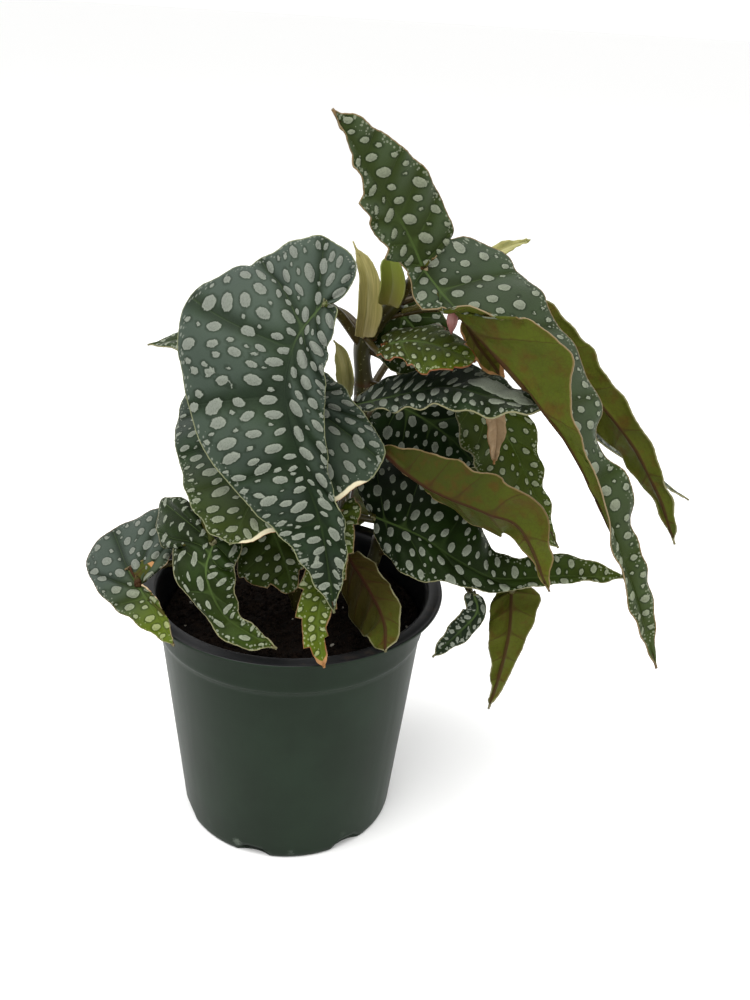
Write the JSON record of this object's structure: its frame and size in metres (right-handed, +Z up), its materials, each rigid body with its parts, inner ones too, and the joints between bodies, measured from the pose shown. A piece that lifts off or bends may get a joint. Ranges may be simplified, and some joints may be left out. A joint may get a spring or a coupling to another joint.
{
  "type": "potted begonia plant",
  "caption": "Bushy potted plant with drooping angel-wing leaves on upright canes, in a round tapered nursery pot of soil.",
  "frame": {"origin": "centre of the pot's flat base, on the floor", "axes": "+Z up; the front of the plant, with its largest leaves, faces -Y; +X to the right seen from the front"},
  "size_m": [0.2225, 0.1375, 0.271],
  "materials": {
    "pot_plastic": "thin satin thermoformed plastic, dark green outside, black inside",
    "potting_mix": "damp peaty soil, matt and crumbly",
    "cane": "smooth olive green stem",
    "leaf": "satin dark green with silver spots, olive underside",
    "young_leaf": "satin yellow green",
    "brown_leaf": "thin orange brown young leaf",
    "sheath": "papery pale green",
    "flower_bud": "soft waxy pink petal"
  },
  "bodies": {
    "root": {"pot": "pot_plastic", "soil": "potting_mix", "cane_left": "cane", "cane_right": "cane", "cane_tall": "cane", "leaf_back_left": "leaf", "leaf_back_low": "leaf", "leaf_back_right": "leaf", "leaf_back_upper": "leaf", "leaf_centre_level": "leaf", "leaf_centre_rear": "leaf", "leaf_centre_shaded": "leaf", "leaf_crest": "leaf", "leaf_front_big": "leaf", "leaf_front_claw": "leaf", "leaf_front_shaded": "leaf", "leaf_front_shelf": "leaf", "leaf_front_toothed": "leaf", "leaf_hanging": "leaf", "leaf_left_torn": "leaf", "leaf_over_soil": "leaf", "leaf_rear_left": "leaf", "leaf_rear_right": "leaf", "leaf_right_drooping": "leaf", "leaf_right_green": "leaf", "leaf_right_rear": "leaf", "leaf_right_tailed": "leaf", "leaf_small_twisted": "leaf", "leaf_young_brown": "brown_leaf", "leaf_young_hanging": "brown_leaf", "leaf_young_olive": "young_leaf", "leaf_young_pale": "young_leaf", "sheath_low": "sheath", "sheath_tall": "sheath", "sheath_yellow": "sheath", "flower_stalk": "cane", "flower_bud": "flower_bud"}
  },
  "joints": []
}
